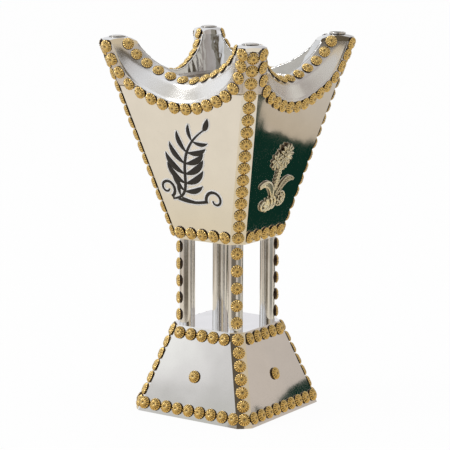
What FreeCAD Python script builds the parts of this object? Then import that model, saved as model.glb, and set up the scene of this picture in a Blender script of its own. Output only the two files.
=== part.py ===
import FreeCAD, Part
import math
import os

# A square mabkhara: a wooden core clad in polished steel sheet and set with rows of
# domed nails. A flared bowl with four horns stands on four round posts over a
# spreading base. Millimetres, +Z up, the origin at the middle of the base's underside,
# the front face towards -Y.

V = FreeCAD.Vector
ROOT2 = math.sqrt(2)
FACES = ("front", "right", "back", "left")
CORNERS = ("front_right", "back_right", "back_left", "front_left")

# Driving sizes of the burner
base_half_bottom = 64.3
base_half_top = 38.6
base_height = 79.0
neck_height = 80.0
bowl_half_bottom = 38.4
bowl_half_top = 86.0
bowl_height = 181.0
corner_flat = 14.0
sheet = 0.8
board = 10.0
overrun = 20.0

# Boards that close the base and the bowl
bottom_board = 8.0
deck_board = 12.0
floor_board = 12.0

# Posts
post_radius = 7.0
post_centre = 26.4
tenon_radius = 4.0
tenon_length = 10.0
tenon_gap = 0.1

# Rim between two horns: its outer edge, its crease and its inner edge
rim_low = 128.8
band_height = 15.2
strip_rise = 4.8
strip_width = 9.3
rim_crease_depth = 20.0
out_x_reach = 66.0
out_z_reach = 46.0
crease_x_reach = 61.5
crease_z_reach = 33.0
crease_flare = 12.1
inner_x_reach = 54.0
inner_z_reach = 28.5
inner_flare = 10.7
out_x_shares = (0, 0.17, 0.335, 0.648, 0.885, 1, 1.09)
out_z_shares = (0, 0.02, 0.08, 0.27, 0.58, 1, 1.38)
crease_x_shares = (0, 0.155, 0.305, 0.595, 0.85, 1, 1.10)
crease_z_shares = (0, 0.02, 0.09, 0.31, 0.64, 1, 1.50)
inner_x_shares = (0, 0.155, 0.31, 0.61, 0.86, 1, 1.12)
inner_z_shares = (0, 0.02, 0.1, 0.35, 0.68, 1, 1.52)
flare_shares = (0, 0.04, 0.14, 0.40, 0.74, 1, 1.20)

# Hearth: the flat ledge inside the bowl, its board, and the charcoal pan
ledge_drop = 36.4
shelf_board = 10.0
hearth_half = 56.2
hearth_flare = 18.0
hearth_corner_low = 25.0
hearth_corner_high = 13.0
rim_block = 22.0
pan_half = 34.0
pan_corner = 9.0
pan_lip = 9.0
pan_depth = 28.0
pan_wall = 1.0
pan_draft = 5.0
pan_gap = 0.5

# Horn caps, each with a domed button
cap_rise = 4.0
cap_crown = 2.4
cap_ball = 44.0
button_radius = 7.5
button_height = 2.6
button_skirt = 0.8
button_bed = 1.4

# Nails: domed heads with a low skirt
nail_radius = 5.75
nail_height = 2.6
nail_skirt = 0.6
nail_bed = 0.4
crown_share = 0.82
bevel_share = 0.5
base_low_count = 9
base_low_height = 7.6
base_high_count = 5
base_high_drop = 6.4
nail_pitch = 12.3
base_corner_count = 7
base_corner_low = 7.0
base_corner_drop = 6.2
base_centre_height = 37.0
post_nail_count = 5
post_nail_low = 8.1
post_nail_drop = 8.6
bowl_low_count = 5
bowl_low_rise = 6.6
bowl_corner_count = 16
bowl_corner_rise = 6.8
bowl_corner_drop = 8.9
rim_outer_count = 17
rim_outer_offset = 5.9
rim_outer_end_drop = 4.8
rim_outer_drift = 3.2
rim_inner_count = 12
rim_inner_radius = 5.3
rim_inner_end_drop = 4.4

# Raised flower on the right and left faces: places run across the face and up its slope
flower_slope_place = 82.0
head_radius = 11.5
head_height = 7.0
bud_radius = 9.5
bud_height = 4.5
bud_across = -10.5
bud_up = -3.0
stem_width = 6.5
stem_height = 2.6
stem_foot = 45.0
leaf_height = 1.8
leaf_width = 9.0
right_leaf_reach = 27.0
right_leaf_foot = 47.0
right_leaf_rise = 14.0
left_leaf_reach = 27.0
left_leaf_foot = 42.0
left_leaf_rise = 17.0
scroll_radius = 8.0
scroll_core = 2.6
scroll_wire = 1.6
scroll_left_across = -16.0
scroll_right_across = 12.5
scroll_foot = 37.0
crescent_radius = 5.0
crescent_left_across = -5.6
crescent_right_across = 3.2
crescent_foot = 36.0

# Heights worked out from the driving sizes
neck_low = base_height
neck_high = base_height + neck_height
horn_top = neck_high + bowl_height
ledge_top = horn_top - ledge_drop
floor_top = neck_high + sheet + floor_board
shelf_top = ledge_top - sheet
shelf_low = shelf_top - shelf_board
cap_low = horn_top - cap_rise
cap_top = horn_top + cap_crown


def base_half(z):
    """Half the width of the base at this height."""
    return base_half_bottom + (base_half_top - base_half_bottom) * z / base_height


def bowl_half(z):
    """Half the width of the bowl at this height."""
    return bowl_half_bottom + (bowl_half_top - bowl_half_bottom) * (z - neck_high) / bowl_height


def turned(shape, quarters):
    """A copy turned about the upright axis by quarter turns."""
    copy = shape.copy()
    copy.rotate(V(0, 0, 0), V(0, 0, 1), 90 * quarters)
    return copy


def four(shape):
    """The shape on all four sides."""
    return [turned(shape, quarters) for quarters in range(4)]


def save(name, shapes):
    """Writes one node: a solid, or several solids as one compound."""
    shape = shapes[0] if len(shapes) == 1 else Part.makeCompound(shapes)
    shape.exportStep("parts/" + name + ".step")


def ring(half, inset=0):
    """Plan of the body: a square with cut corners, moved in by inset on every side."""
    reach = half - inset
    edge = (half * ROOT2 - corner_flat / 2 - inset) * ROOT2 - reach
    return [(-edge, -reach), (edge, -reach), (reach, -edge), (reach, edge),
            (edge, reach), (-edge, reach), (-reach, edge), (-reach, -edge)]


def outline(points, z):
    """A closed wire through plan points at one height."""
    corners = [V(x, y, z) for x, y in points]
    return Part.makePolygon(corners + corners[:1])


def tapered(plan_at, low, high):
    """A solid between two heights whose plan changes in straight lines."""
    return Part.makeLoft([outline(plan_at(z), z) for z in (low, high)], True, True)


def block(half_at, low, high, inset=0):
    """The full body between two heights."""
    return tapered(lambda z: ring(half_at(z), inset), low, high)


def skin(half_at, low, high, side):
    """One flat sheet of the cladding; even sides are faces, odd sides are cut corners."""
    def plan(z):
        outer = ring(half_at(z))
        inner = ring(half_at(z), sheet)
        return [outer[side], outer[side + 1], inner[side + 1], inner[side]]
    return tapered(plan, low, high)


def wall(half_at, inner_at, low, high):
    """The front wall board, mitred at both corners."""
    def plan(z):
        core = ring(half_at(z), sheet)
        mitre = (core[1][0] + core[2][0]) / 2
        inner = inner_at(z)
        return [(-mitre, -mitre), core[0], core[1], (mitre, -mitre), (inner, -inner), (-inner, -inner)]
    return tapered(plan, low, high)


def posts(radius, low, high):
    """Four round bars on the posts' centres."""
    bar = Part.makeCylinder(radius, high - low, V(post_centre, -post_centre, low))
    return four(bar)


def spline(points):
    """A smooth edge through the points, with even steps of its parameter."""
    curve = Part.BSplineCurve()
    steps = [index / (len(points) - 1) for index in range(len(points))]
    curve.interpolate(Points=points, Parameters=steps)
    return curve.toShape()


def mirrored(points):
    """The points of one half of the rim, from end to end."""
    return [V(-p.x, p.y, p.z) for p in reversed(points[1:])] + points


def rim_lines():
    """Outer edge, crease and inner edge of the front rim, each as points from the middle out."""
    low = neck_high + rim_low
    outer, crease, inner = [], [], []
    for k in range(len(out_x_shares)):
        z = low + out_z_reach * out_z_shares[k]
        outer.append(V(out_x_reach * out_x_shares[k], -bowl_half(z), z))
        crease_depth = bowl_half_top - rim_crease_depth + crease_flare * flare_shares[k]
        crease_z = low + band_height + crease_z_reach * crease_z_shares[k]
        crease.append(V(crease_x_reach * crease_x_shares[k], -crease_depth, crease_z))
        inner_depth = bowl_half_top - rim_crease_depth - strip_width + inner_flare * flare_shares[k]
        inner_z = low + band_height + strip_rise + inner_z_reach * inner_z_shares[k]
        inner.append(V(inner_x_reach * inner_x_shares[k], -inner_depth, inner_z))
    return outer, crease, inner


def rim_edges(shift):
    """The front rim's edges from horn to horn, from outside the face to over the hearth."""
    outer, crease, inner = rim_lines()
    outside = [V(p.x, p.y - overrun / 2, p.z) for p in outer]
    past = [i + (i - c) * (overrun / strip_width) for i, c in zip(inner, crease)]
    return [spline([p + shift for p in mirrored(line)]) for line in (outside, outer, crease, inner, past)]


def rim_faces(shift):
    """The front rim's surface in strips between those edges."""
    edges = rim_edges(shift)
    return [Part.makeRuledSurface(a, b) for a, b in zip(edges, edges[1:])]


OUTWARD = V(0, -1, 1)
outer_faces = rim_faces(V(0, 0, 0))
under_faces = rim_faces(V(0, sheet, -sheet))
sweep = OUTWARD * (bowl_half_top + overrun)
above_rim = [turned(face.extrude(sweep), q) for face in outer_faces for q in range(4)]
above_under = [turned(face.extrude(sweep), q) for face in under_faces for q in range(4)]


def rounded(half, radius, z):
    """A square wire with round corners."""
    edges = []
    for quarter in range(4):
        side = Part.makeLine(V(half, radius - half, z), V(half, half - radius, z))
        middle = half - radius + radius / ROOT2
        bend = Part.Arc(V(half, half - radius, z), V(middle, middle, z), V(half - radius, half, z)).toShape()
        for edge in (side, bend):
            edge.rotate(V(0, 0, 0), V(0, 0, 1), 90 * quarter)
            edges.append(edge)
    return Part.Wire(edges)


def rounded_block(half_low, radius_low, half_high, radius_high, low, high):
    """A solid between two rounded squares."""
    return Part.makeLoft([rounded(half_low, radius_low, low), rounded(half_high, radius_high, high)], True, True)


def hearth_space(inset):
    """The space over the ledge inside the lining, or inside the wood with no inset."""
    return rounded_block(hearth_half - inset, hearth_corner_low - inset,
                         hearth_half + hearth_flare - inset, hearth_corner_high - inset,
                         ledge_top, cap_top + overrun)


def ledge_plate():
    """The polished sheet on the hearth's board, before its hole is cut."""
    return rounded_block(hearth_half, hearth_corner_low, hearth_half, hearth_corner_low, shelf_top, ledge_top)


def slab(low, high):
    """Everything between two heights."""
    side = 2 * (bowl_half_top + overrun)
    return Part.makeBox(side, side, high - low, V(-side / 2, -side / 2, low))


wood_space = hearth_space(0)
clear_space = hearth_space(sheet)
rim_full = block(bowl_half, neck_high + rim_low - overrun, cap_top + overrun).cut(clear_space)


def build_base():
    """The spreading base: boards inside, sheets outside."""
    deck_low = base_height - sheet - deck_board
    tenons = posts(tenon_radius + tenon_gap, base_height - sheet - tenon_length, base_height)
    save("base_bottom_board", [block(base_half, 0, bottom_board, sheet)])
    save("base_deck", [block(base_half, deck_low, base_height - sheet, sheet).cut(tenons)])
    side_board = wall(base_half, lambda z: base_half(z) - sheet - board, bottom_board, deck_low)
    panel = skin(base_half, 0, base_height - sheet, 0)
    strip = skin(base_half, 0, base_height - sheet, 1)
    for quarter in range(4):
        save("base_board_" + FACES[quarter], [turned(side_board, quarter)])
        save("base_panel_" + FACES[quarter], [turned(panel, quarter)])
        save("base_corner_strip_" + CORNERS[quarter], [turned(strip, quarter)])
    save("base_top_plate", [block(base_half, base_height - sheet, base_height).cut(tenons)])


def build_posts():
    """Four dowels with tenons, each in a steel sleeve."""
    cores = posts(post_radius - sheet, neck_low, neck_high)
    tenons = posts(tenon_radius, neck_low - sheet - tenon_length, neck_high + sheet + tenon_length)
    sleeves = posts(post_radius, neck_low, neck_high)
    for corner, core, tenon, sleeve in zip(CORNERS, cores, tenons, sleeves):
        save("post_core_" + corner, [core.fuse(tenon).removeSplitter()])
        save("post_sleeve_" + corner, [sleeve.cut(core)])


def build_bowl():
    """The flared bowl: floor, boards, sheets, rim bands, horn caps and hearth."""
    tenons = posts(tenon_radius + tenon_gap, neck_high, neck_high + sheet + tenon_length)
    save("bowl_bottom_plate", [block(bowl_half, neck_high, neck_high + sheet).cut(tenons)])
    save("bowl_floor", [block(bowl_half, neck_high + sheet, floor_top, sheet).cut(tenons)])

    def inner_half(z):
        return bowl_half(z) - sheet - board
    low_board = wall(bowl_half, inner_half, floor_top, shelf_top)
    high_board = wall(bowl_half, lambda z: inner_half(shelf_top) - rim_block, shelf_top, cap_low)
    side_board = low_board.fuse(high_board.cut([wood_space, ledge_plate()])).removeSplitter()
    side_board = side_board.cut(above_under)
    panel = skin(bowl_half, neck_high + sheet, cap_low, 0).cut(above_under)
    strip = skin(bowl_half, neck_high + sheet, cap_low, 1)
    layer = Part.makeCompound([face.extrude(OUTWARD * sheet) for face in under_faces])
    band = rim_full.common(layer.common(slab(neck_high + rim_low - overrun, cap_low)))
    band = band.Solids[0].multiFuse(band.Solids[1:]).removeSplitter()
    for quarter in range(4):
        save("bowl_board_" + FACES[quarter], [turned(side_board, quarter)])
        save("bowl_panel_" + FACES[quarter], [turned(panel, quarter)])
        save("rim_band_" + FACES[quarter], [turned(band, quarter)])
        save("bowl_corner_strip_" + CORNERS[quarter], [turned(strip, quarter)])
    build_caps()
    lining = wood_space.cut(clear_space).common(slab(ledge_top, cap_low)).cut(above_under)
    save("hearth_lining", lining.Solids)


def build_caps():
    """A domed sheet cap on each horn, with a round button on its top."""
    tops = rim_full.cut(above_rim).common(slab(cap_low, cap_top))
    button = dome(button_radius, button_height, button_skirt)
    buttons = []
    for quarter in range(4):
        cap = [s for s in tops.Solids if corner_of(s.CenterOfMass) == quarter][0]
        middle = cap.CenterOfMass
        cap = cap.common(Part.makeSphere(cap_ball, V(middle.x, middle.y, cap_top - cap_ball)))
        buttons.append(set_on(button, V(middle.x, middle.y, cap_top - button_bed), V(0, 0, 1), V(0, 1, 0)).cut(cap))
        save("horn_cap_" + CORNERS[quarter], cap.Solids)
    save("horn_buttons", [solid for one in buttons for solid in one.Solids])


def corner_of(point):
    """Which corner a point stands in, counted from the front right one."""
    signs = (point.x > 0, point.y > 0)
    return {(True, False): 0, (True, True): 1, (False, True): 2, (False, False): 3}[signs]


def dome(radius, height, skirt):
    """A low round head standing on z = 0: a skirt, a bevel and a crown cut from a ball."""
    crown_radius = radius * crown_share
    crown_foot = skirt + (height - skirt) * bevel_share
    rise = height - crown_foot
    ball = (crown_radius * crown_radius + rise * rise) / rise / 2
    side = Part.makeCylinder(radius, skirt)
    bevel = Part.makeCone(radius, crown_radius, crown_foot - skirt, V(0, 0, skirt))
    crown = Part.makeSphere(ball, V(0, 0, height - ball)).common(slab(crown_foot, height))
    return side.multiFuse([bevel, crown]).removeSplitter().Solids[0]


nail = dome(nail_radius, nail_height, nail_skirt)


def set_on(shape, place, normal, up=V(0, 0, 1)):
    """A copy whose foot stands at place, facing along normal."""
    z_axis = V(normal).normalize()
    x_axis = up.cross(z_axis).normalize()
    y_axis = z_axis.cross(x_axis)
    matrix = FreeCAD.Matrix(x_axis.x, y_axis.x, z_axis.x, place.x,
                            x_axis.y, y_axis.y, z_axis.y, place.y,
                            x_axis.z, y_axis.z, z_axis.z, place.z, 0, 0, 0, 1)
    copy = shape.copy()
    copy.Placement = FreeCAD.Placement(matrix).multiply(copy.Placement)
    return copy


def face_normal(half_at, corner):
    """Outward normal of the front face, or of the front right cut corner."""
    slope = half_at(1) - half_at(0)
    if corner:
        return V(1, -1, -2 * slope).normalize()
    return V(0, -1, -slope).normalize()


def row(half_at, z, count):
    """Nails in a level row across the front face."""
    normal = face_normal(half_at, False)
    places = [V((k - (count - 1) / 2) * nail_pitch, -half_at(z), z) for k in range(count)]
    return [set_on(nail, place, normal) for place in places]


def column(half_at, low, high, count):
    """Nails up the front right corner."""
    normal = face_normal(half_at, True)
    nails = []
    for k in range(count):
        z = low + (high - low) * k / (count - 1)
        reach = half_at(z) - corner_flat / 2 / ROOT2
        nails.append(set_on(nail, V(reach, -reach, z), normal))
    return nails


def on_four(nails):
    """The same nails on all four sides, as one list."""
    return [turned(one, quarter) for quarter in range(4) for one in nails]


def steps_along(edge, top, count, drift=0):
    """Parameters at even steps along a rim edge, up to this height at both horns; drift moves the middle."""
    middle = edge.Length / 2
    reach = 0
    while middle + reach < edge.Length and edge.valueAt(edge.getParameterByLength(middle + reach)).z < top:
        reach += sheet
    parameters = []
    for k in range(count):
        share = 2 * k / (count - 1) - 1
        length = middle + reach * share + drift * (1 - share * share)
        parameters.append(edge.getParameterByLength(length))
    return parameters


def outer_rim_nails():
    """The row under the rim's outer edge, on the front face; its middle sits a little to the right."""
    normal = face_normal(bowl_half, False)
    edge = rim_edges(V(0, 0, 0))[1]
    nails = []
    for t in steps_along(edge, horn_top - rim_outer_end_drop, rim_outer_count, rim_outer_drift):
        down = edge.tangentAt(t).cross(normal).normalize()
        nails.append(set_on(nail, edge.valueAt(t) + down * rim_outer_offset, normal))
    return nails


def inner_rim_nails():
    """The row on the rim's sloping strip, bedded into it."""
    crease, inner = rim_edges(V(0, 0, 0))[2:4]
    beds = [face.extrude(OUTWARD * -nail_height) for face in outer_faces[1:3]]
    head = dome(rim_inner_radius, nail_height, nail_skirt)
    nails = []
    for t in steps_along(crease, horn_top - rim_inner_end_drop, rim_inner_count):
        across = inner.valueAt(t) - crease.valueAt(t)
        along = crease.tangentAt(t) + inner.tangentAt(t)
        normal = along.cross(across).normalize()
        place = crease.valueAt(t) + across / 2 - normal * nail_bed
        bedded = set_on(head, place, normal).cut(beds)
        nails.append(max(bedded.Solids, key=lambda one: one.Volume))
    return nails


def post_nails():
    """Nails up the outer side of the front right post, bedded on its sleeve."""
    nails = []
    reach = post_centre + (post_radius - nail_bed) / ROOT2
    sleeve = posts(post_radius, neck_low, neck_high)[0]
    low = neck_low + post_nail_low
    high = neck_high - post_nail_drop
    for k in range(post_nail_count):
        z = low + (high - low) * k / (post_nail_count - 1)
        nails.append(set_on(nail, V(reach, -reach, z), V(1, -1, 0)).cut(sleeve))
    return nails


def build_nails():
    """Every row of nails, one node a row."""
    low_row = row(base_half, base_low_height, base_low_count)
    high_row = row(base_half, base_height - base_high_drop, base_high_count)
    centre = row(base_half, base_centre_height, 1)
    save("base_face_nails", on_four(low_row + high_row + centre))
    base_column = column(base_half, base_corner_low, base_height - base_corner_drop, base_corner_count)
    save("base_corner_nails", on_four(base_column))
    save("post_nails", on_four(post_nails()))
    save("bowl_bottom_nails", on_four(row(bowl_half, neck_high + bowl_low_rise, bowl_low_count)))
    bowl_column = column(bowl_half, neck_high + bowl_corner_rise, horn_top - bowl_corner_drop, bowl_corner_count)
    save("bowl_corner_nails", on_four(bowl_column))
    save("rim_outer_nails", on_four(outer_rim_nails()))
    save("rim_inner_nails", on_four(inner_rim_nails()))


def build_hearth():
    """The shelf board, the polished ledge and the loose charcoal pan."""
    hole_half = pan_half + pan_wall + pan_gap
    hole_corner = pan_corner + pan_wall + pan_gap
    hole = rounded_block(hole_half, hole_corner, hole_half, hole_corner, shelf_low - overrun, ledge_top + overrun)

    def shelf_plan(z):
        reach = bowl_half(z) - sheet - board
        return [(-reach, -reach), (reach, -reach), (reach, reach), (-reach, reach)]
    save("hearth_shelf", [tapered(shelf_plan, shelf_low, shelf_top).cut([hole] + above_under)])
    save("hearth_ledge", [ledge_plate().cut(hole)])
    lip_half = pan_half + pan_wall + pan_lip
    lip_corner = pan_corner + pan_wall + pan_lip
    lip = rounded_block(lip_half, lip_corner, lip_half, lip_corner, ledge_top, ledge_top + pan_wall)
    foot_half = pan_half - pan_draft
    well_low = ledge_top + pan_wall - pan_depth
    well = rounded_block(foot_half + pan_wall, pan_corner + pan_wall, pan_half + pan_wall, pan_corner + pan_wall,
                         well_low, ledge_top)
    hollow = rounded_block(foot_half, pan_corner, pan_half, pan_corner, well_low + pan_wall, ledge_top + pan_wall)
    save("charcoal_pan", [lip.fuse(well).cut(hollow).removeSplitter()])


def bar(across, up, width):
    """A flat tapering stroke through points on the face, as a closed outline."""
    left, right = [], []
    last = len(across) - 1
    for k in range(last + 1):
        before, after = max(k - 1, 0), min(k + 1, last)
        dx, dy = across[after] - across[before], up[after] - up[before]
        size = math.hypot(dx, dy)
        w = width[k] / 2
        left.append(V(across[k] - dy / size * w, up[k] + dx / size * w, 0))
        right.append(V(across[k] + dy / size * w, up[k] - dx / size * w, 0))
    sides = []
    for line in (left, right):
        curve = Part.BSplineCurve()
        curve.interpolate(line)
        sides.append(curve.toShape())
    ends = [Part.makeLine(left[0], right[0]), Part.makeLine(left[-1], right[-1])]
    return Part.Face(Part.Wire(Part.__sortEdges__(sides + ends)))


def stroke(across, up, width, height):
    """The same stroke as a solid of this height."""
    return bar(across, up, width).extrude(V(0, 0, height))


def face_frame(shape):
    """Moves a piece drawn flat, up the slope from the bowl's foot, onto the front face."""
    place = V(0, -bowl_half(neck_high), neck_high)
    return set_on(shape, place, face_normal(bowl_half, False))


def build_flower():
    """A rosette with a bud, a stem, two leaves and two scrolls, on the side faces."""
    def at(shape, x, y):
        copy = shape.copy()
        copy.translate(V(x, y, 0))
        return copy
    head = at(dome(head_radius, head_height, head_height / 3), 0, flower_slope_place)
    bud = at(dome(bud_radius, bud_height, bud_height / 3), bud_across, flower_slope_place + bud_up).cut(head)
    stem_top = flower_slope_place
    stem = stroke((0, -stem_height / 4, 0), (stem_foot, (stem_foot + stem_top) / 2, stem_top),
                  (stem_width * 0.7, stem_width, stem_width), stem_height).cut([head, bud])
    reach, foot, rise = right_leaf_reach, right_leaf_foot, right_leaf_rise
    right_leaf = stroke((stem_width * 0.7, reach * 0.38, reach * 0.66, reach),
                        (foot, foot + rise * 0.6, foot + rise * 0.95, foot + rise * 0.72),
                        (leaf_width * 0.4, leaf_width * 0.8, leaf_width * 0.85, leaf_width * 0.12), leaf_height)
    reach, foot, rise = left_leaf_reach, left_leaf_foot, left_leaf_rise
    left_leaf = stroke((-stem_width * 0.3, -reach * 0.36, -reach * 0.68, -reach),
                       (foot, foot + rise * 0.62, foot + rise * 0.96, foot + rise * 0.85),
                       (leaf_width * 0.4, leaf_width * 0.5, leaf_width * 0.6, leaf_width * 0.3), leaf_height)
    scrolls = []
    for across in (scroll_left_across, scroll_right_across):
        coil = Part.makeTorus(scroll_radius - scroll_wire, scroll_wire).common(slab(0, overrun))
        core = dome(scroll_core, leaf_height * 1.4, leaf_height / 2)
        scrolls += [at(coil, across, scroll_foot), at(core, across, scroll_foot)]
    for across in (crescent_left_across, crescent_right_across):
        scrolls.append(at(dome(crescent_radius, leaf_height * 1.4, leaf_height / 2), across, crescent_foot))
    stem = stem.cut(scrolls)
    right_leaf = right_leaf.cut([stem] + scrolls)
    left_leaf = left_leaf.cut([stem, right_leaf] + scrolls)
    loose = {"flower_heads": [head, bud], "flower_leaves": [stem, right_leaf, left_leaf],
             "flower_scrolls": scrolls}
    for name, pieces in loose.items():
        placed = [turned(face_frame(piece), quarter) for quarter in (1, 3) for piece in pieces]
        save(name, [solid for piece in placed for solid in piece.Solids])


os.makedirs("parts", exist_ok=True)
build_base()
build_posts()
build_bowl()
build_hearth()
build_nails()
build_flower()
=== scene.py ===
import math
import random

import bpy
import numpy as np
from mathutils import Matrix, Vector


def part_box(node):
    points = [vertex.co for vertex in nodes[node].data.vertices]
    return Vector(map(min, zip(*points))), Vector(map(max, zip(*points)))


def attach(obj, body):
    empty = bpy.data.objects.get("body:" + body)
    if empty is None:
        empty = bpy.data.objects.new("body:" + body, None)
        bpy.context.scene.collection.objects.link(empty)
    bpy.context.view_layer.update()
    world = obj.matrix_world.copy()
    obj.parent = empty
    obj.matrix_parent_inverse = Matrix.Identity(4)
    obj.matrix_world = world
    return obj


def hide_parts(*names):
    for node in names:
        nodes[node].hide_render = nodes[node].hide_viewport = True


MM = 0.001

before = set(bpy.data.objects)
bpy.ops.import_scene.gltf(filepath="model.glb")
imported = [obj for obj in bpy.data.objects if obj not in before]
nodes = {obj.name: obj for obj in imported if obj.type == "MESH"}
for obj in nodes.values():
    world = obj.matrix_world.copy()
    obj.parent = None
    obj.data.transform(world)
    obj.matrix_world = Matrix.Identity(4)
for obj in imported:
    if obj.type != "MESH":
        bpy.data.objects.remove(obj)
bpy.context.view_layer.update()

FACES = ("front", "right", "back", "left")
CORNERS = ("front_right", "back_right", "back_left", "front_left")

# Sizes taken over from the solids, in millimetres
BOWL_LOW, BOWL_BOTTOM, BOWL_TOP, HORN_TOP = 159.0, 38.4, 86.0, 340.0
BOWL_SLOPE = math.atan2(BOWL_TOP - BOWL_BOTTOM, HORN_TOP - BOWL_LOW)
BASE_BOTTOM, BASE_TOP, BASE_HIGH = 64.3, 38.6, 79.0
SHEET = 0.8
CORNER_FOLD = 9.9
CAP_LOW = 336.0
RIM_LOW = BOWL_LOW + 128.8
BAND_HIGH, STRIP_RISE, STRIP_WIDE = 15.2, 4.8, 9.3
CREASE_DEEP, CREASE_FLARE, INNER_FLARE = 20.0, 12.1, 10.7
OUT_REACH, CREASE_REACH, INNER_REACH = (66.0, 46.0), (61.5, 33.0), (54.0, 28.5)
OUT_SHARES = ((0, 0.17, 0.335, 0.648, 0.885, 1, 1.09), (0, 0.02, 0.08, 0.27, 0.58, 1, 1.38))
CREASE_SHARES = ((0, 0.155, 0.305, 0.595, 0.85, 1, 1.10), (0, 0.02, 0.09, 0.31, 0.64, 1, 1.50))
INNER_SHARES = ((0, 0.155, 0.31, 0.61, 0.86, 1, 1.12), (0, 0.02, 0.1, 0.35, 0.68, 1, 1.52))
FLARE_SHARES = (0, 0.04, 0.14, 0.40, 0.74, 1, 1.20)
HEARTH_HALF, HEARTH_FLARE, HEARTH_CORNERS = 55.4, 18.0, (24.2, 12.2)
LEDGE_TOP, HEARTH_TOP = 303.6, 362.4


# Node helpers

def material(name):
    """A new material with its node tree cleared to one Principled shader."""
    mat = bpy.data.materials.new(name)
    mat.use_nodes = True
    tree = mat.node_tree
    shader = tree.nodes["Principled BSDF"]
    return mat, tree, shader


def node(tree, kind, **values):
    """A node with its settings, and its inputs by name with a leading in_."""
    made = tree.nodes.new(kind)
    for key, value in values.items():
        if key.startswith("in_"):
            made.inputs[key[3:].replace("_", " ")].default_value = value
        else:
            setattr(made, key, value)
    return made


def ramp(tree, stops):
    """A colour ramp through (place, grey or colour) stops."""
    made = tree.nodes.new("ShaderNodeValToRGB")
    band = made.color_ramp
    while len(band.elements) < len(stops):
        band.elements.new(0.5)
    for element, (place, colour) in zip(band.elements, stops):
        element.position = place
        if not isinstance(colour, tuple):
            colour = (colour, colour, colour)
        element.color = (*colour, 1.0)
    return made


def linear(r, g, b):
    """A colour written as it shows, 0 to 255, for a shader's socket."""
    def one(c):
        c = c / 255
        return c / 12.92 if c <= 0.04045 else ((c + 0.055) / 1.055) ** 2.4
    return (one(r), one(g), one(b))


# Materials

def steel_material(name, colour, rough, dent_size, dent_depth, smudge):
    """Polished sheet: shallow dents of a size along X, Y and Z, faint smudges and hairline scratches."""
    mat, tree, shader = material(name)
    link = tree.links.new
    place = node(tree, "ShaderNodeTexCoord")
    spread = node(tree, "ShaderNodeMapping", in_Scale=dent_size)
    link(place.outputs["Object"], spread.inputs["Vector"])
    dents = node(tree, "ShaderNodeTexNoise", in_Scale=1.0, in_Detail=1.5, in_Roughness=0.45)
    link(spread.outputs["Vector"], dents.inputs["Vector"])
    stretch = node(tree, "ShaderNodeMapping", in_Scale=(900.0, 900.0, 60.0))
    link(place.outputs["Object"], stretch.inputs["Vector"])
    hair = node(tree, "ShaderNodeTexNoise", in_Scale=1.0, in_Detail=2.0)
    link(stretch.outputs["Vector"], hair.inputs["Vector"])
    cloud = node(tree, "ShaderNodeTexNoise", in_Scale=55.0, in_Detail=4.0, in_Roughness=0.6)
    link(place.outputs["Object"], cloud.inputs["Vector"])
    wide = node(tree, "ShaderNodeBump", in_Strength=1.0, in_Distance=dent_depth)
    link(dents.outputs["Fac"], wide.inputs["Height"])
    fine = node(tree, "ShaderNodeBump", in_Strength=0.06, in_Distance=0.00003)
    link(hair.outputs["Fac"], fine.inputs["Height"])
    link(wide.outputs["Normal"], fine.inputs["Normal"])
    link(fine.outputs["Normal"], shader.inputs["Normal"])
    tone = ramp(tree, [(0.35, tuple(c * (1 - smudge) for c in colour)), (0.65, colour)])
    link(cloud.outputs["Fac"], tone.inputs["Fac"])
    link(tone.outputs["Color"], shader.inputs["Base Color"])
    gloss = ramp(tree, [(0.3, rough), (0.75, rough * 1.7)])
    link(cloud.outputs["Fac"], gloss.inputs["Fac"])
    link(gloss.outputs["Color"], shader.inputs["Roughness"])
    shader.inputs["Metallic"].default_value = 1.0
    return mat


def gold_material(name, bright, deep, rough, grain, metal):
    """Embossed gold plate under a satin lacquer, with random worn clouds, and painted shade that makes it
    darker and duller in its grooves, hollows and under its edges.
    """
    mat, tree, shader = material(name)
    link = tree.links.new
    place = node(tree, "ShaderNodeTexCoord")
    painted_shade = node(tree, "ShaderNodeAttribute", attribute_name="painted_shade")
    cloud = node(tree, "ShaderNodeTexNoise", in_Scale=420.0, in_Detail=3.0, in_Roughness=0.6)
    link(place.outputs["Object"], cloud.inputs["Vector"])
    # Random worn clouds plus the painted shade from the mesh attribute; both darken the colour and dull the
    # gloss.
    wear_and_shade = node(tree, "ShaderNodeMath", operation="MULTIPLY_ADD")
    wear_and_shade.inputs[1].default_value = 0.35
    link(cloud.outputs["Fac"], wear_and_shade.inputs[0])
    link(painted_shade.outputs["Fac"], wear_and_shade.inputs[2])
    between = tuple((a + b) / 2 for a, b in zip(bright, deep))
    tone = ramp(tree, [(0.15, bright), (0.75, between), (1.0, deep)])
    link(wear_and_shade.outputs["Value"], tone.inputs["Fac"])
    link(tone.outputs["Color"], shader.inputs["Base Color"])
    gloss = ramp(tree, [(0.2, rough), (1.0, min(1.0, rough * 2.2))])
    link(wear_and_shade.outputs["Value"], gloss.inputs["Fac"])
    link(gloss.outputs["Color"], shader.inputs["Roughness"])
    bump = node(tree, "ShaderNodeBump", in_Strength=0.35, in_Distance=grain)
    link(cloud.outputs["Fac"], bump.inputs["Height"])
    link(bump.outputs["Normal"], shader.inputs["Normal"])
    shader.inputs["Metallic"].default_value = metal
    shader.inputs["Coat Weight"].default_value = 1.0
    shader.inputs["Coat Roughness"].default_value = 0.12
    return mat


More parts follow.
